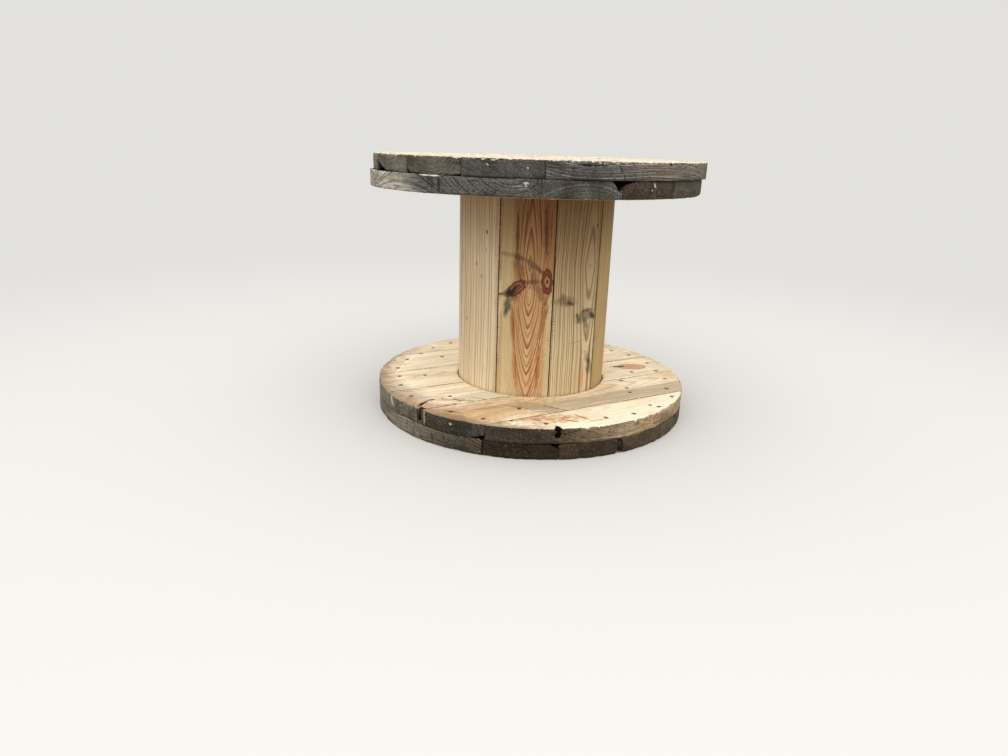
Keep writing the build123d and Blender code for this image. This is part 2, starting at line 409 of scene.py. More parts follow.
def carve_crack(bm, face_z, path):
    """Splits a board's top face along a path, shallower towards the end, with one lip lifted."""
    half_width, depth, lip, divided, lifted = 0.0028, 0.006, 0.0016, 0.014, 0.012

    def place_by_path(point):
        best = (1.0, 0.0, 0.0)
        for step, (start, end) in enumerate(zip(path, path[1:])):
            run = end - start
            share = max(0.0, min(1.0, (point - start).dot(run) / run.length_squared))
            off = point - (start + run * share)
            if off.length < best[0]:
                side = run.x * off.y - run.y * off.x
                best = (off.length, side, (step + share) / (len(path) - 1))
        return best

    def on_top(vert, reach):
        return abs(vert.co.z - face_z) < 0.003 and place_by_path(vert.co.xy)[0] < reach

    near = [edge for edge in bm.edges if all(on_top(vert, divided) for vert in edge.verts)]
    bmesh.ops.subdivide_edges(bm, edges=near, cuts=3, use_grid_fill=True)
    for vert in bm.verts:
        if not on_top(vert, lifted):
            continue
        far, side, share = place_by_path(vert.co.xy)
        far += 0.0012 * noise.noise(vert.co * 300)
        if far < half_width:
            vert.co.z -= depth * (1 - 0.8 * share) * (1 - max(0.0, far) / half_width)
        elif side < 0:
            vert.co.z += lip * (1 - share) * (1 - far / divided)


def finished_piece(name, bm, material, nodes):
    """Puts a modelled mesh in place of the nodes it stands for."""
    tangled = [face for face in bm.faces if len(face.verts) > 4]
    bmesh.ops.triangulate(bm, faces=tangled)
    mesh = bpy.data.meshes.new(name)
    bm.to_mesh(mesh)
    bm.free()
    mesh.shade_smooth()
    mesh.set_sharp_from_angle(angle=math.radians(38))
    mesh.materials.append(material)
    piece = bpy.data.objects.new(name, mesh)
    scene.collection.objects.link(piece)
    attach(piece, "root")
    if nodes:
        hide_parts(*nodes)
    return piece


def nail_places(turn, rings, seed):
    """Places for nails on rings about the axis, a little uneven, clear of the boards' gaps."""
    draw = random.Random(seed)
    clearance = 0.009
    cosine, sine = math.cos(turn), math.sin(turn)
    places = []
    for radius, count, first in rings:
        for step in range(count):
            angle = math.radians(first + 360 * step / count + draw.uniform(-2.4, 2.4))
            out = radius + draw.uniform(-0.008, 0.008)
            x, y = out * math.sin(angle), -out * math.cos(angle)
            along, across = x * cosine + y * sine, y * cosine - x * sine
            gap = round(across / BOARD_PITCH) * BOARD_PITCH
            if abs(across - gap) < clearance:
                across = gap + math.copysign(clearance, across - gap)
            places.append((along * cosine - across * sine, along * sine + across * cosine))
    return places


def board_of(place, turn):
    """The number of the board that a place lies on, counted outwards from the axis."""
    row = math.floor((place[1] * math.cos(turn) - place[0] * math.sin(turn)) / BOARD_PITCH)
    return 2 * row + 1 if row >= 0 else -2 * row


def drive_nails(name, places, face_z, outward, seed):
    """The flat heads of a face's nails, each a little tilted and barely proud of the wood."""
    head_radius, thickness, sunk, tilt = 0.0036, 0.0018, 0.0007, 0.06
    radii = [head_radius, head_radius * 0.86][::outward]
    draw = random.Random(seed)
    bm = bmesh.new()
    for x, y in places:
        tilts = [Matrix.Rotation(draw.uniform(-tilt, tilt), 4, axis) for axis in "XY"]
        placed = Matrix.Translation((x, y, face_z - outward * sunk)) @ (tilts[0] @ tilts[1])
        bmesh.ops.create_cone(
            bm, cap_ends=True, segments=10, radius1=radii[0], radius2=radii[1], depth=thickness,
            matrix=placed,
        )
    return finished_piece(name, bm, RUSTY, [])


head = Finish("rusty_nail")
flakes = head.mottle(head.place, (500, 500, 500), 2.0)
tone = head.blend(head.rise(flakes, 0.35, 0.65), (44, 35, 30), (88, 60, 45))
RUSTY = head.finish(tone, head.times_plus(flakes, 0.3, 0.5), flakes, metallic=0.2)


def lay_ply(name, turn, bottom, face_z, common, boards, nails, centre=(0.0, 0.0), fray=0.002):
    """Dresses the boards of one ply, each with its own growth rings and colours, and nails them."""
    for number, own in boards.items():
        node = f"{name}_board_{number}"
        board = {**common, **own}
        seed = number * 7.3 + bottom * 100
        bm = board_blank(node, turn)
        for direction, spacing in (((0, 1, 0), 0.008), ((0, 0, 1), 0.004), ((1, 0, 0), 0.008)):
            divide(bm, Vector(direction), spacing)
        turned = Matrix.Rotation(-turn, 3, "Z") @ Vector((*centre, 0.0))
        weather_edges(bm, turned, bottom, face_z, seed, fray)
        for angle in board.get("breaks", ()):
            tear_notch(bm, turned, math.radians(angle) - turn, seed)
        if "crack" in board:
            path = [Vector((x / 1000, y / 1000)) for x, y in board["crack"]]
            carve_crack(bm, face_z, [Matrix.Rotation(-turn, 2) @ place for place in path])
        for first, last, depth in board.get("chips", ()):
            first, last = math.radians(first) - turn, math.radians(last) - turn
            chip_corner(bm, turned, bottom, first, last, depth)
        bmesh.ops.rotate(bm, verts=bm.verts, matrix=Matrix.Rotation(turn, 3, "Z"))
        own_nails = [place for place in nails if board_of(place, turn) == number]
        material = board_finish(f"{node}_wood", turn, face_z, centre, board, own_nails, seed)
        finished_piece(f"{node}_worn", bm, material, [node])
    outward = -1 if face_z == bottom else 1
    drive_nails(f"{name}_nails", nails, face_z, outward, bottom * 100)


def board(pith, spacing, rim, rim_end=None, start=-0.3, end=0.3, **more):
    """A board's pith (across its ply, and up) and ring spacing in mm, and rim tones along it."""
    rims = (rim, rim_end or rim, start, end)
    return {"pith": [v / 1000 for v in pith], "spacing": spacing / 1000, "rim": rims, **more}


OUTER_NAILS = ((0.343, 30, 3), (0.262, 12, 8), (0.166, 18, -4), (0.082, 6, 12))
CLEFT = (28, 24, 20)
boards = {
    1: board(
        (60, -20), 4, (90, 73, 54), (112, 97, 75), chips=((31, 33.2, -0.014),),
        rim_marks=(
            (31.2, 37, 32.4, 22, 4.2, CLEFT, 1.0),
            (32.3, 22, 31.2, 8, 4.6, CLEFT, 1.0),
            (32.4, 10, 31.6, -2, 7, CLEFT, 1.0),
        ),
    ),
    2: board((-30, 60), 4, (76, 60, 42), (84, 70, 52)),
    3: board((210, 50), 4, (118, 104, 82)),
    4: board((-190, 45), 4.5, (62, 50, 36)),
    5: board((300, 70), 4, (108, 100, 84)),
    6: board(
        (-330, -50), 3.6, (160, 151, 132), (73, 65, 53), 0.05, 0.3,
        rim_marks=(
            (-41.6, 36, -41.2, 0, 1.4, CLEFT, 1.0),
            (-33, 36, -32.6, 0, 1.4, CLEFT, 1.0),
            (-19.5, 26, -17, 14, 9, (104, 88, 66), 0.45),
        ),
    ),
}
lay_ply(
    "lower_outer", LOWER_OUTER_TURN, 0.0, 0.0,
    {"face": ((168, 146, 116), (128, 104, 76)), "greying": 0.6},
    boards,
    nail_places(LOWER_OUTER_TURN, OUTER_NAILS, 1),
)

# Lower flange, inner ply. Six boards laid across the outer ones and nailed to them. Their upper
# face has stayed clean and pale, with a routed groove that the barrel stands in, and the rim
# is broken in two places.
LOWER_INNER_TURN = math.radians(31.0)
INNER_FACE_Z = 2 * PLY_THICKNESS
CREAM = (253, 240, 210)
TAN = (214, 184, 146)
UMBER = (96, 62, 38)
RUSSET = (168, 110, 66)
# Painted shade for the inside of the broken-out slot in the rim.
BREAK_SHADE = (70, 60, 48)
CHIP = (220, 216, 206)
TORN = ((-243, -283), (-228, -242), (-204, -226), (-176, -225), (-148, -232))


def dirty_fringe(wood, radius, face, amount):
    """Darkens a face's last few centimetres raggedly, where the worn edge has taken up dirt."""
    ragged = wood.times_plus(wood.grit, 0.04, radius)
    ragged = wood.times_plus(wood.mottle(wood.place, (38, 38, 38), 3.0), 0.06, ragged)
    fringe = wood.rise(ragged, FLANGE_RADIUS - 0.008, FLANGE_RADIUS + 0.028)
    return wood.blend(wood.times(fringe, amount), face, (146, 122, 94))


def rubbed_face(wood, along, radius, face):
    """A face that is tanned near the rim, where hands and straps rub it, most at the front left."""
    rubbed = wood.mottle(wood.place, (14, 14, 14), 2.0)
    frontal = wood.vector("DOT_PRODUCT", wood.place, (-0.77, -0.64, 0))
    dusty = wood.rise(wood.times_plus(rubbed, 0.06, frontal), 0.332, 0.378)
    face = wood.shade(dusty, face, (200, 204, 212))
    rubbed = wood.rise(radius, 0.318, 0.35, wood.rise(rubbed, 0.3, 0.7))
    face = wood.blend(wood.times(rubbed, 0.75), face, TAN)
    amount = wood.times_plus(wood.rise(frontal, 0.05, 0.26), 0.62, 0.12)
    face = dirty_fringe(wood, radius, face, amount)
    return wood.scratches(wood.place, face, (
        (-337, -62, -331, 17, 2.6, (255, 252, 238), 0.9),
        (-331, 30, -313, 112, 2.6, (255, 252, 238), 0.9),
    ), 1.5, 0.3)


def knotted_face(wood, along, radius, face):
    """The board with the broad oval knot on the right and the torn crack on the left."""
    face = rubbed_face(wood, along, radius, face)
    place = wood.place
    knot = wood.spot(place, (0.27, 0.088), (0.041, 0.025), 0.2, 0.35)
    face = wood.nested(knot, face, (
        (1.0, 0.85, (166, 108, 70), 0.12),
        (1.13, 0.9, (214, 173, 138), 0.1),
        (1.9, 0.5, (206, 152, 108), 0.4),
    ))
    face = wood.scratches(place, face, ((220, 79, 250, 87, 8.5, UMBER, 0.95),), 1.2)
    pale = wood.spot(place, (-0.095, -0.195), (0.09, 0.034), 0.45, 0.3)
    face = wood.patch(pale, 0.8, face, (220, 208, 176), 0.15)
    face = wood.scratches(place, face, ((-159, -198, -53, -231, 2.2, UMBER, 0.7),), 0.9)
    torn = wood.spot(place, (-0.19, -0.247), (0.052, 0.02), 0.5, 2.2)
    face = wood.nested(torn, face, (
        (0.86, 0.65, (184, 140, 106), 0.25),
        (1.15, 0.9, (242, 214, 190), 0.35),
    ))
    face = wood.scratches(place, face, ((-232, -268, -150, -262, 3.0, RUSSET, 0.7),), 2.0)
    path = (*TORN, (-118, -226))
    crack = [
        (*start, *end, half_width, (66, 40, 26), 0.95)
        for start, end, half_width in zip(path, path[1:], (5.6, 5.0, 4.0, 3.0, 2.0))
    ]
    face = wood.scratches(place, face, crack, 1.4)
    return wood.scratches(place, face, (
        (-218, -246, -170, -240, 2.2, CREAM, 0.8),
        (-214, -256, -160, -248, 2.2, CREAM, 0.8),
        (-200, -262, -140, -240, 2.2, CREAM, 0.8),
        (-236, -264, -196, -252, 1.9, RUSSET, 0.7),
        (-206, -238, -164, -236, 1.9, RUSSET, 0.7),
        (-190, -258, -150, -252, 1.9, RUSSET, 0.7),
        (-290, -175, -240, -168, 1.9, RUSSET, 0.7),
        (-300, -190, -262, -186, 1.9, RUSSET, 0.7),
    ), 1.6)


def scarred_face(wood, along, radius, face):
    """The board across the front, stained orange, with a grey band towards its right end."""
    face = rubbed_face(wood, along, radius, face)
    place = wood.place
    turned = wood.add("Mapping", place, (0, 0, 0), (0, 0, -LOWER_INNER_TURN))
    across = wood.parts(turned)["Y"]
    grain = wood.mottle(turned, (7, 110, 110), 4.0, 4.0)
    front = wood.spot(place, (-0.06, -0.275), (0.23, 0.07), 0.5, 1.5)
    face = wood.shade(wood.rise(front, 1.3, 0.3), face, (225, 210, 186))
    orange = wood.spot(place, (-0.095, -0.262), (0.13, 0.042), 0.42, 0.9)
    amount = wood.times_plus(wood.rise(grain, 0.4, 0.62), 0.6, 0.15)
    face = wood.blend(wood.rise(orange, 1.3, 0.3, amount), face, (190, 152, 116))
    ragged = wood.times_plus(wood.grit, 0.016, across)
    band = wood.rise(ragged, -0.205, -0.217, wood.rise(along, -0.15, -0.02))
    band = wood.times(band, wood.times_plus(wood.rise(grain, 0.3, 0.6), 0.5, 0.45))
    face = wood.blend(band, face, (186, 168, 140))
    dull = wood.spot(place, (0.03, -0.262), (0.075, 0.028), -0.35, 1.2)
    face = wood.patch(dull, 0.7, face, (170, 150, 124))
    return wood.scratches(place, face, (
        (-40, -224, 70, -246, 3.4, RUSSET, 0.75),
        (62, -248, 118, -290, 4, RUSSET, 0.75),
        (20, -240, 85, -262, 2.6, UMBER, 0.75),
        (-165, -246, -40, -190, 2.4, RUSSET, 0.75),
        (-150, -300, -60, -262, 2.8, RUSSET, 0.75),
        (-120, -270, -20, -215, 2.2, CREAM, 0.75),
        (-200, -292, -120, -318, 3, UMBER, 0.75),
        (-10, -285, 60, -262, 2.4, CREAM, 0.75),
        (-60, -250, 10, -268, 3, UMBER, 0.75),
    ), 1.1, 0.7)


def bright_face(wood, along, radius, face):
    """The outermost board at the front right, cream, with torn brown grain beside the slot."""
    place = wood.place
    face = wood.blend(0.3, face, CREAM)
    leftward = wood.rise(wood.parts(place)["X"], 0.09, -0.02)
    face = dirty_fringe(wood, radius, face, wood.times(leftward, 0.85))
    torn = wood.mottle(place, (70, 160, 1), 5.0, 4.0)
    brown = wood.spot(place, (0.045, -0.32), (0.09, 0.032), 0.25, 1.6)
    amount = wood.times_plus(wood.rise(torn, 0.4, 0.6), 0.62, 0.3)
    face = wood.blend(wood.rise(brown, 1.1, 0.4, amount), face, (190, 134, 84))
    return wood.scratches(place, face, (
        (76, -324, 112, -332, 4, UMBER, 0.85),
        (98, -288, 134, -318, 3.6, RUSSET, 0.85),
        (0, -322, 34, -340, 3, RUSSET, 0.85),
        (-30, -300, 30, -312, 2.6, RUSSET, 0.85),
        (40, -290, 100, -300, 2.4, (232, 206, 160), 0.85),
        (120, -330, 180, -300, 2.4, RUSSET, 0.85),
    ), 0.9, 0.6)


INNER_NAILS = ((0.343, 30, -2), (0.268, 10, 27))
SEEN_NAILS = (
    (-278, 195), (-302, 129), (-329, 68), (-339, -10), (-323, -77), (-307, -143), (-269, -217),
    (-168, -304), (-95, -337), (-35, -341), (38, -350), (168, -299), (232, -267), (295, -215),
    (276, -208), (337, -142), (334, -84), (343, -6), (331, 57), (318, 128), (276, 199),
    (231, 237), (-241, 109), (-262, -59), (-181, -207), (240, -125), (265, 39), (229, -36),
    (237, -93), (150, 305), (60, 338), (-20, 345), (-105, 325), (-190, 287), (-235, 250),
    (-60, 262), (70, 262), (170, 205), (-170, 205), (-20, -268),
)
boards = {
    1: board((90, -10), 5.2, (168, 159, 138), marks=rubbed_face, lean=0.06),
    2: board(
        (-80, 10), 5, (150, 142, 124), marks=knotted_face, breaks=(-38.4,), crack=TORN,
        rim_marks=(
            (-56.5, 66, -55, 52, 8, CHIP, 0.7),
            # Painted shade in and beside the broken-out slot.
            (-39.6, 70, -39.2, 40, 5, BREAK_SHADE, 0.9),
            (-41.5, 69, -40.8, 60, 4, BREAK_SHADE, 0.8),
        ),
    ),
    3: board((190, 20), 4.8, (112, 104, 86), marks=rubbed_face),
    4: board(
        (-168, 12), 5.6, (100, 94, 84), (92, 86, 77), -0.35, -0.28,
        ridge=0.25, marks=scarred_face, lean=0.07, contrast=0.9,
        rim_marks=(
            (-25.8, 58.5, -25.2, 58, 2.6, CHIP, 0.8),
            (-36.4, 70, -36.2, 40, 3.4, (190, 154, 116), 0.9),
            # Painted shade in the broken-out slot.
            (-36.9, 66, -36.7, 44, 2.2, BREAK_SHADE, 0.8),
        ),
    ),
    5: board((320, 60), 4.5, (112, 104, 86), marks=rubbed_face),
    6: board(
        (-290, 5), 4, (88, 78, 65), (246, 215, 172), -0.19, 0.12,
        marks=bright_face, breaks=(9.8,), ridge=0.25, frayed=(0.002, 0.008),
    ),
}
lay_ply(
    "lower_inner", LOWER_INNER_TURN, PLY_THICKNESS, INNER_FACE_Z,
    {"face": ((253, 241, 214), (232, 202, 160)), "greying": 0.2},
    boards,
    [(x / 1000, y / 1000) for x, y in SEEN_NAILS],
    fray=0.0035,
)

# Barrel. Nine bevelled planks stood in the groove and milled round outside, planed clean, with
# the red heart of one plank, its two knots and the grey stain beside them showing at the front.
# Dirt has gathered in the joints, and the planks are darkened under the top flange by painted
# shade.
BARREL_RADIUS = 0.183
STAVE_SWEEPS = [44.0] + [39.5] * 8
FIRST_JOINT = -159.5
YELLOW = ((237, 220, 186), (196, 158, 112), (212, 188, 148))
STRAW = ((226, 204, 158), (188, 148, 100), (206, 180, 134))
AMBER = ((202, 174, 122), (150, 112, 70), (168, 138, 94))
OLIVE = ((226, 206, 164), (150, 114, 74), (192, 168, 126))
HEART = (220, 180, 132)
HEART_LATE = (142, 84, 46)
# The heart's painted shade towards the top, under the top flange.
HEART_PAINTED_SHADE = (244, 238, 228)
MILDEW = (84, 80, 62)
SOOT = (44, 34, 28)
BLOOD = (94, 46, 34)
ORANGE = (204, 132, 74)


def on_stave(middle, angle, height=0):
    """A place on a stave's round face, from its angle off the front and its height in mm."""
    return (math.radians(angle - middle) * BARREL_RADIUS, height / 1000)


def scratched(wood, skin, middle, base, rows, tint=False):
    """Lays stains between pairs of places on a stave's face."""
    return wood.scratches(skin, base, rows, 0.9, 0.7, BARREL_RADIUS, middle, tint)


# The pale stave on the left, with a reddish streak and small pin knots.
LEFT_MARKS = (
    (-69, 520, -69, 75, 2.8, UMBER, 0.7),
    (-58, 500, -60, 110, 10, (212, 164, 108), 0.35),
    (-54, 520, -55, 350, 1.4, UMBER, 0.4),
    (-33, 470, -33.5, 120, 1.3, UMBER, 0.35),
    (-39, 300, -40, 90, 1.2, UMBER, 0.35),
    (-28.5, 510, -28.5, 330, 1.6, UMBER, 0.4),
    (-63, 300, -64, 100, 1.3, ORANGE, 0.5),
    (-51, 430, -53, 90, 3.5, ORANGE, 0.45),
    (-43, 520, -43, 330, 2.2, ORANGE, 0.4),
    (-36.2, 443, -35.8, 436, 3, SOOT, 0.9),
    (-46, 370, -45.8, 361, 2.8, UMBER, 0.85),
    (-41, 343, -40, 336, 4, MILDEW, 0.5),
    (-36.5, 390, -36.5, 410, 1.4, UMBER, 0.7),
    (-60, 235, -56, 228, 4, MILDEW, 0.4),
    (-67, 350, -66, 395, 3, MILDEW, 0.45),
)


# The stave with red heartwood: its edges, its streaks, and the stain about its two knots.
HEART_TINTS = (
    (-15, 285, -13, 190, 8, (216, 168, 122), 0.8),
    (-13, 190, -9.8, 75, 7.5, (224, 178, 130), 0.8),
    (9.5, 305, 5.6, 205, 9.5, (212, 164, 118), 0.8),
    (5.6, 205, 4.6, 75, 8, (224, 174, 126), 0.8),
)
HEART_STREAKS = (
    (12.6, 322, 6.2, 268, 1.5, UMBER, 0.75),
    (13.4, 305, 7.4, 245, 1.4, UMBER, 0.7),
    (9.6, 306, 4.6, 262, 1.4, UMBER, 0.65),
    (11.8, 288, 6.4, 215, 1.3, UMBER, 0.5),
    (-12.6, 292, -8.6, 245, 1.3, UMBER, 0.55),
    (-14.8, 300, -12.6, 215, 1.4, UMBER, 0.6),
    (-13.6, 285, -11.6, 170, 1.6, (120, 68, 40), 0.7),
    (-12, 200, -9.2, 75, 1.5, (128, 72, 42), 0.6),
    (6.9, 250, 4.6, 150, 1.6, (120, 68, 40), 0.7),
    (4.6, 150, 4.8, 75, 1.5, (128, 72, 42), 0.6),
    (-12.5, 520, -11.8, 360, 5.5, (96, 54, 36), 0.75),
    (6.5, 520, 8.5, 370, 8, (98, 56, 38), 0.75),
    (1.5, 520, 5.5, 400, 3, (104, 58, 36), 0.6),
    (-5, 520, -8, 400, 3, (98, 54, 36), 0.65),
    (-2.5, 520, -5, 430, 1.8, (104, 58, 36), 0.5),
    (10.5, 520, 10.8, 400, 2.2, (92, 50, 34), 0.6),
    (-9, 520, -10, 440, 1.8, (104, 58, 36), 0.5),
    (-12, 385, -9, 345, 17, (128, 82, 50), 0.6),
    (-15, 300, -10, 330, 19, (112, 66, 40), 0.75),
    (3, 330, 8, 290, 13, (126, 76, 46), 0.6),
)
KNOT_STAINS = (
    (-20, 307, -14.5, 313, 13, SOOT, 0.95),
    (-17.5, 305, -10.5, 330, 5.5, SOOT, 0.85),
    (-27.5, 303, -20, 309, 4, SOOT, 0.8),
    (-19, 262, -17.6, 300, 12, MILDEW, 0.85),
    (-20, 255, -19.2, 275, 7, SOOT, 0.5),
    (-24, 398, -14, 394, 7.5, MILDEW, 0.4),
    (-14, 394, -5, 384, 8.5, SOOT, 0.55),
    (-5, 384, 3.5, 366, 9.5, SOOT, 0.55),
    (-8, 336, 4.5, 339, 8, UMBER, 0.65),
    (3, 368, 7, 355, 6, UMBER, 0.7),
    (-1.5, 365, 1.5, 325, 13, (110, 84, 60), 0.5),
)


def heart_stave(wood, skin, middle, late, base):
    """The stave with red heartwood, two knots and the grey stain that spread from them."""
    parts = wood.parts(skin)
    drift = wood.times_plus(wood.grit, 0.006, parts["X"])
    lean = wood.rise(parts["Y"], 0.27, 0.06, 0.019)
    left = wood.minus(wood.minus(drift, lean), on_stave(middle, -15.0)[0])
    reach = wood.rise(parts["Y"], 0.28, 0.36, 0.03)
    right = wood.minus(wood.minus(drift, reach), on_stave(middle, 9.5)[0])
    red = wood.rise(left, -0.005, 0.005, wood.rise(right, 0.006, -0.008))
    bands = wood.mottle(skin, (70, 3, 1), 2.0)
    heart = wood.blend(wood.rise(bands, 0.4, 0.7), HEART, (206, 150, 98))
    heart = wood.blend(wood.times(late, 0.95), heart, HEART_LATE)
    # Painted shade: the heart darkens towards the top, under the top flange.
    heart = wood.shade(wood.rise(parts["Y"], 0.3, 0.42), heart, HEART_PAINTED_SHADE)
    base = wood.blend(wood.times(red, 0.9), base, heart)
    base = scratched(wood, skin, middle, base, HEART_TINTS, tint=True)
    base = scratched(wood, skin, middle, base, HEART_STREAKS)
    knot = wood.spot(skin, on_stave(middle, -12, 322), (0.031, 0.016), math.radians(40.0), 0.6)
    base = wood.nested(knot, base, (
        (1.0, 0.95, BLOOD, 0.3),
        (1.45, 0.9, (176, 120, 78), 0.3),
        (1.9, 0.9, BLOOD, 0.3),
        (2.6, 0.8, (150, 108, 76), 0.5),
        (5.0, 0.85, SOOT, 0.7),
    ))
    knot = wood.spot(skin, on_stave(middle, 9.3, 338), (0.0145, 0.033), 0.06, 0.5)
    base = wood.nested(knot, base, (
        (1.0, 0.92, BLOOD, 0.22),
        (1.3, 0.92, (150, 84, 50), 0.22),
        (1.6, 0.92, BLOOD, 0.22),
        (2.2, 0.92, (190, 138, 92), 0.22),
        (5.0, 0.92, SOOT, 0.22),
    ))
    return scratched(wood, skin, middle, base, KNOT_STAINS)


# The olive stave on the right, spotted with mildew.
RIGHT_MARKS = (
    (48.4, 462, 48.8, 457, 4, SOOT, 0.8),
    (17, 296, 30, 290, 16, MILDEW, 0.6),
    (25, 291, 30, 287, 6.5, SOOT, 0.75),
    (21, 312, 22, 300, 5, MILDEW, 0.5),
    (34, 250, 48, 262, 19, MILDEW, 0.6),
    (37, 268, 47, 271, 6, SOOT, 0.65),
    (46, 262, 52.5, 247, 8.5, SOOT, 0.85),
    (41, 250, 44, 226, 9, SOOT, 0.55),
    (33, 264, 36.5, 238, 5, SOOT, 0.6),
    (44, 170, 52, 115, 13, MILDEW, 0.6),
    (46.5, 150, 50, 140, 6, SOOT, 0.6),
    (46, 130, 48, 115, 6, SOOT, 0.55),
    (41.5, 150, 42.5, 75, 8, ORANGE, 0.55),
    (24, 192, 48, 203, 1.6, UMBER, 0.35),
    (52.8, 330, 52.8, 240, 2.2, SOOT, 0.8),
    (35, 520, 34, 330, 3, (150, 112, 70), 0.4),
)


def end_stave(wood, skin, middle, late, base):
    """The last stave in view, with a row of short dark dents where the cutter chattered."""
    height = wood.times_plus(wood.grit, 0.012, wood.parts(skin)["Y"])
    dents = wood.rise(wood.math("PINGPONG", height, 0.0045), 0.0022, 0.0034)
    row = wood.spot(skin, on_stave(middle, 77, 325), (0.0085, 0.125), 0.0, 1.6)
    return wood.patch(row, wood.times(dents, 0.65), base, SOOT, 0.5)


def stave_finish(name, middle, sweep, stave, seed):
    """One plank's wood, with its rings about a line beneath its face."""
    wood = Finish(name)
    turned = wood.add("Mapping", wood.place, (0, 0, 0), (0, 0, math.radians(90.0 - middle)))
    parts = wood.parts(turned)
    deep, across, nearest, swell, spread = stave["heart"]
    side = wood.minus(parts["Y"], across)
    above = wood.minus(parts["Z"], nearest)
    stretched = wood.times(above, stave.get("above", 1))
    off = wood.math("MAXIMUM", stretched, wood.times(above, -1.0))
    rounded = wood.math("POWER", wood.times_plus(side, side, 1e-5), 0.5)
    off = wood.times_plus(rounded, stave.get("pointed", 1), off)
    flank = wood.math("POWER", wood.times(rounded, 1 / 0.025), 3.0)
    off = wood.times_plus(flank, stave.get("flanks", 0), off)
    sink = wood.times(wood.math("MINIMUM", off, spread), swell)
    below = wood.math("ADD", sink, wood.minus(parts["X"], BARREL_RADIUS - deep))
    space = wood.add("CombineXYZ", parts["Z"], side, below)
    turn = wood.math("ARCTAN2", parts["Y"], parts["X"])
    skin = wood.add("CombineXYZ", wood.times(turn, BARREL_RADIUS), parts["Z"], 0.0)
    knots = [
        (wood.spot(skin, on_stave(middle, *place), sizes, lean), push)
        for place, sizes, lean, push in stave.get("knots", ())
    ]
    late, bent = wood.rings(space, stave["spacing"], stave.get("wander", 0.004), seed, knots)
    fibre = wood.mottle(bent, (11, 420, 420), seed, 2.0)
    blotch = wood.mottle(space, (4, 14, 14), seed + 2)
    streaks = wood.mottle(bent, (2, 60, 60), seed + 1)

    early, latewood, dull = stave["tones"]
    base = wood.blend(wood.times(late, stave.get("contrast", 0.7)), early, latewood)
    base = wood.blend(wood.rise(blotch, 0.45, 0.8, 0.4), base, dull)
    base = wood.blend(wood.rise(streaks, 0.46, 0.68, 0.4), base, dull)
    base = scratched(wood, skin, middle, base, stave.get("marks", ()))
    if "own" in stave:
        base = stave["own"](wood, skin, middle, late, base)
    base = wood.shade(wood.rise(fibre, 0.45, 0.75, 0.4), base, (205, 180, 150))
    # Painted shade: each plank darkens towards the top, under the top flange, more on some planks
    # than others.
    browned = wood.rise(parts["Z"], stave.get("unshaded_to", 0.36), 0.54, stave.get("browned", 0.5))
    base = wood.shade(browned, base, (182, 166, 146))

    half = math.radians(sweep / 2) * BARREL_RADIUS
    aside = wood.math("ABSOLUTE", wood.times(turn, BARREL_RADIUS))
    from_joint = wood.minus(half, aside)
    height = wood.times_plus(wood.grit, 0.012, parts["Z"])
    rung = wood.rise(wood.math("PINGPONG", height, 0.0036), 0.002, 0.003)
    ticked = wood.rise(wood.mottle(skin, (90, 26, 1), seed + 7, 2.0), 0.52, 0.62)
    ticks = wood.times(wood.times(rung, ticked), wood.rise(from_joint, 0.013, 0.004))
    base = wood.shade(wood.times(ticks, 0.45), base, (128, 108, 84))
    seam = wood.times_plus(wood.grit, 0.001, from_joint)
    base = wood.blend(wood.rise(seam, 0.0019, 0.0008), base, (52, 38, 26))

    chatter = wood.math("PINGPONG", parts["Z"], 0.0025)
    relief = wood.times_plus(fibre, 0.3, wood.times(late, 0.15))
    relief = wood.times_plus(chatter, 25.0, relief)
    return wood.finish(base, wood.times_plus(fibre, 0.15, 0.62), relief, specular=0.25)


STAVES = {
    1: dict(
        heart=(0.05, -0.085, 0.3, 0.02, 0.3), spacing=0.0085, tones=YELLOW, marks=LEFT_MARKS,
        contrast=0.8, browned=0.5, pointed=0.0, wander=0.01,
    ),
    2: dict(
        heart=(0.006, 0.009, 0.318, 0.27, 0.5), spacing=0.0062, tones=STRAW, own=heart_stave,
        contrast=0.8, browned=0.73, unshaded_to=0.28, wander=0.007,
        pointed=2.7, flanks=0.02, above=0.45,
        knots=(((-12.0, 322), (0.031, 0.016), 0.7, 2.5), ((9.3, 338), (0.0145, 0.033), 0.06, 3.0)),
    ),
    3: dict(
        heart=(0.0343, 0.026, 0.37, 0.045, 0.2), spacing=0.0043, tones=OLIVE, marks=RIGHT_MARKS,
        contrast=1.0, browned=0.95, unshaded_to=0.12, pointed=0.5, wander=0.006,
    ),
    4: dict(
        heart=(0.04, 0.06, 0.3, 0.02, 0.3), spacing=0.005, tones=AMBER, own=end_stave,
        contrast=0.7, browned=0.7,
    ),
}
USUAL_HEART = ((0.02, 0.05), (-0.06, 0.06), (0.0, 0.6), (0.05, 0.12))
start = FIRST_JOINT
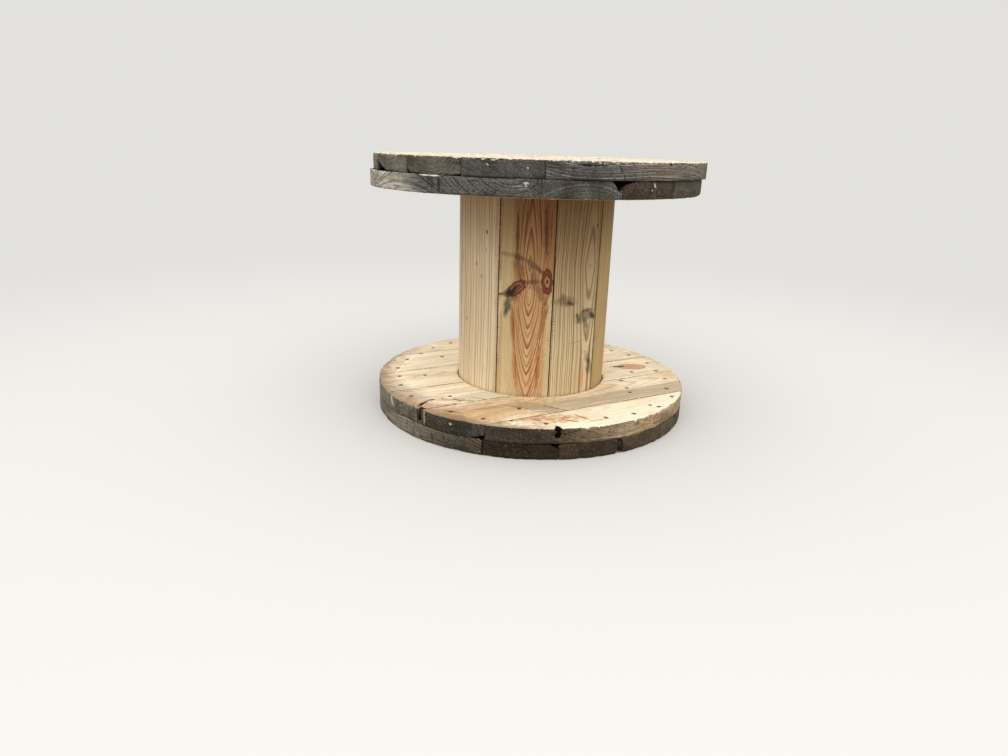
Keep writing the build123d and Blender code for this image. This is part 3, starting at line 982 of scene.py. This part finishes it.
for number, sweep in enumerate(STAVE_SWEEPS, 1):
    node = f"stave_{number}"
    draw = random.Random(number)
    usual = dict(
        heart=(*[draw.uniform(*span) for span in USUAL_HEART], 0.5),
        pointed=draw.uniform(0.5, 2.5),
        spacing=draw.uniform(0.0036, 0.005),
        tones=draw.choice((YELLOW, OLIVE)),
    )
    turn = math.radians(start + sweep / 2)
    bm = board_blank(node, turn)
    arrises = []
    for edge in bm.edges:
        ends = [vert.co for vert in edge.verts]
        upright = abs(ends[0].z - ends[1].z) > 0.1
        outside = all(math.hypot(end.x, end.y) > BARREL_RADIUS - 0.001 for end in ends)
        turned = abs(math.atan2(ends[0].y, ends[0].x))
        if upright and outside and turned > math.radians(sweep / 2 - 0.3):
            arrises.append(edge)
    bmesh.ops.bevel(
        bm, geom=arrises, offset=0.0011, segments=2, profile=0.5, affect="EDGES", material=-1
    )
    divide(bm, Vector((0, 1, 0)), 0.006)
    divide(bm, Vector((0, 0, 1)), 0.01)
    bmesh.ops.rotate(bm, verts=bm.verts, matrix=Matrix.Rotation(turn, 3, "Z"))
    middle = start + sweep / 2 + 90.0
    material = stave_finish(f"{node}_wood", middle, sweep, STAVES.get(number, usual), number * 3.1)
    finished_piece(f"{node}_planed", bm, material, [node])
    start += sweep

# Upper flange, inner ply. Six boards across those above them, with their clean face down and
# the same groove. Its rim steps out a little on the left.
TRAVERSE = 0.458
UPPER_FACE_Z = INNER_FACE_Z + TRAVERSE
UPPER_INNER_TURN = math.radians(-43.5)
UPPER_INNER_CENTRE = (-0.008, 0.0)
GRIME = (50, 48, 44)
boards = {
    1: board((60, 500), 4.5, (110, 104, 92)),
    2: board(
        (-70, 590), 4, (100, 87, 71), chips=((25.7, 31, 0.013),),
        rim_marks=(
            (38, 557.5, 38.4, 553, 2.8, CHIP, 0.85),
            (36.9, 549, 37.3, 546, 1.6, CHIP, 0.6),
        ),
    ),
    3: board((200, 540), 4.8, (110, 104, 92)),
    4: board(
        (-200, 460), 3.6, (125, 124, 119),
        ridge=0.2, eroded=0.6, chips=((25.7, 22.6, 0.022),),
    ),
    5: board((320, 500), 4.5, (110, 104, 92)),
    6: board(
        (-310, 580), 4.6, (224, 218, 203), (108, 106, 101), -0.05, 0.07,
        ridge=0, eroded=0.8, wander=0.012,
        rim_marks=(
            (-36.3, 563.5, -27, 563, 2.1, CHIP, 0.95),
            (-32, 561, -31.4, 544, 11, GRIME, 0.55),
            (-28.7, 562, -28.2, 530, 5, GRIME, 0.95),
            (-2.6, 557.5, -1.6, 556.5, 2.2, CHIP, 0.7),
            (-2.4, 556, -1.9, 551, 1.4, CHIP, 0.7),
        ),
    ),
}
lay_ply(
    "upper_inner", UPPER_INNER_TURN, UPPER_FACE_Z, UPPER_FACE_Z,
    {"face": ((226, 198, 152), (200, 154, 100)), "greying": 0.2},
    boards,
    nail_places(UPPER_INNER_TURN, INNER_NAILS, 3),
    centre=UPPER_INNER_CENTRE,
)

# Upper flange, outer ply. Six boards across the inner ones. The top is bleached pale by the
# sun, with its front edge frayed, and the rim is dark grey.
TOP_Z = UPPER_FACE_Z + 2 * PLY_THICKNESS
UPPER_OUTER_TURN = math.radians(46.5)
boards = {
    1: board((70, 640), 4, (144, 139, 128), chips=((-64, -56.5, -0.022),)),
    2: board((-69, 608), 3.6, (120, 114, 102), ridge=0.55),
    3: board((200, 540), 4.4, (152, 146, 132)),
    4: board(
        (-100, 440), 2.8, (108, 106, 100), ridge=0.25, eroded=0.5,
        rim_marks=(
            (-14.7, 589, -14.3, 587, 1.6, CHIP, 0.7),
            (-3, 585, -2.8, 583, 1.8, CHIP, 0.7),
        ),
    ),
    5: board((320, 640), 4.5, (118, 112, 98)),
    6: board(
        (-320, 700), 3.1, (137, 137, 136), (165, 155, 137), -0.2, -0.03,
        ridge=0.6, eroded=0.75, wander=0.01,
        rim_marks=((9.5, 592.5, 20.0, 591.5, 2.7, CLEFT, 1.0),),
    ),
}
lay_ply(
    "upper_outer", UPPER_OUTER_TURN, UPPER_FACE_Z + PLY_THICKNESS, TOP_Z,
    {
        "face": ((230, 221, 198), (188, 170, 136)), "greying": 0.6, "grey": (168, 164, 152),
        "frayed": (0.006, 0.006), "stain": 0.35,
    },
    boards,
    nail_places(UPPER_OUTER_TURN, OUTER_NAILS, 4),
    fray=0.006,
)

# Tie bolts. Steel, with hexagon heads sunk in the top and nuts sunk underneath, a washer at each
# end, their zinc gone dull, with rust coming through in spots.
steel = Finish("dull_zinc")
spangle = steel.mottle(steel.place, (160, 160, 160))
rust = steel.rise(steel.mottle(steel.place, (60, 60, 60), 4.0), 0.45, 0.62)
base = steel.blend(spangle, (120, 118, 114), (150, 148, 142))
base = steel.blend(rust, base, (110, 66, 40))
dull_zinc = steel.finish(base, steel.times_plus(rust, 0.3, 0.45), spangle, metallic=0.6)
for number in range(1, 5):
    for kind in ("tie_bolt", "tie_bolt_nut", "lower_washer", "upper_washer"):
        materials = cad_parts[f"{kind}_{number}"].data.materials
        materials.clear()
        materials.append(dull_zinc)

# Floor, sky, lamp and camera: a plain pale floor, a pale sky that is brightest overhead, and
# one broad soft lamp above the front.
BACKDROP = colour(226, 225, 222)
HORIZON = 0.75
ZENITH = 1.35


def seen_rays(around):
    """1 where a ray from the camera, a mirror or glass arrives, and 0 for the light itself."""
    rays = around.add("LightPath").node.outputs
    seen = around.math("MAXIMUM", rays["Is Camera Ray"], rays["Is Glossy Ray"])
    return around.math("MAXIMUM", seen, rays["Is Transmission Ray"])


bm = bmesh.new()
bmesh.ops.create_grid(bm, x_segments=1, y_segments=1, size=30.0)
mesh = bpy.data.meshes.new("floor")
bm.to_mesh(mesh)
bm.free()
floor = bpy.data.objects.new("floor", mesh)
scene.collection.objects.link(floor)
ground = Finish("floor")
pale = ground.add("BsdfDiffuse", colour(208, 206, 202), 0.0)
dull = ground.add("BsdfDiffuse", colour(128, 124, 118), 0.0)
backdrop = ground.add("Emission", BACKDROP, 1.0)
far = ground.rise(ground.vector("LENGTH", ground.place), 1.0, 3.2)
shown = ground.add("MixShader", far, pale, backdrop)
mesh.materials.append(ground.end(ground.add("MixShader", seen_rays(ground), dull, shown)))

sky = Finish("sky", bpy.data.worlds)
height = sky.parts(sky.add("TexCoord", out="Generated"))["Z"]
strength = sky.add("MapRange", height, 0.0, 0.9, HORIZON, ZENITH)
lit = sky.add("Background", (1.0, 1.0, 1.0, 1.0), strength)
shown = sky.add("Background", BACKDROP, 1.0)
scene.world = sky.end(sky.add("MixShader", seen_rays(sky), lit, shown), "OutputWorld")

light = bpy.data.lights.new("overhead", "AREA")
light.size = 4.0
light.energy = 60.0
lamp = bpy.data.objects.new("overhead", light)
lamp.location = (0.1, -2.0, 3.0)
aim = Vector((0, 0, 0.3)) - lamp.location
lamp.rotation_euler = aim.to_track_quat("-Z", "Y").to_euler()
scene.collection.objects.link(lamp)

CAMERA_PLACE = (0.0, -1.7229, 0.6191)
CAMERA_RIGHT = Vector((0.998447, 0.047731, 0.02874))
CAMERA_DOWN = Vector((0.042182, -0.310611, -0.949601))
CAMERA_AHEAD = Vector((-0.036398, 0.949338, -0.312142))
view = bpy.data.cameras.new("camera")
view.sensor_width = 36.0
view.lens = 25.11
camera = bpy.data.objects.new("camera", view)
camera.matrix_world = Matrix.Translation(CAMERA_PLACE) @ Matrix(
    (CAMERA_RIGHT, -CAMERA_DOWN, -CAMERA_AHEAD)
).transposed().to_4x4()
scene.collection.objects.link(camera)
scene.camera = camera
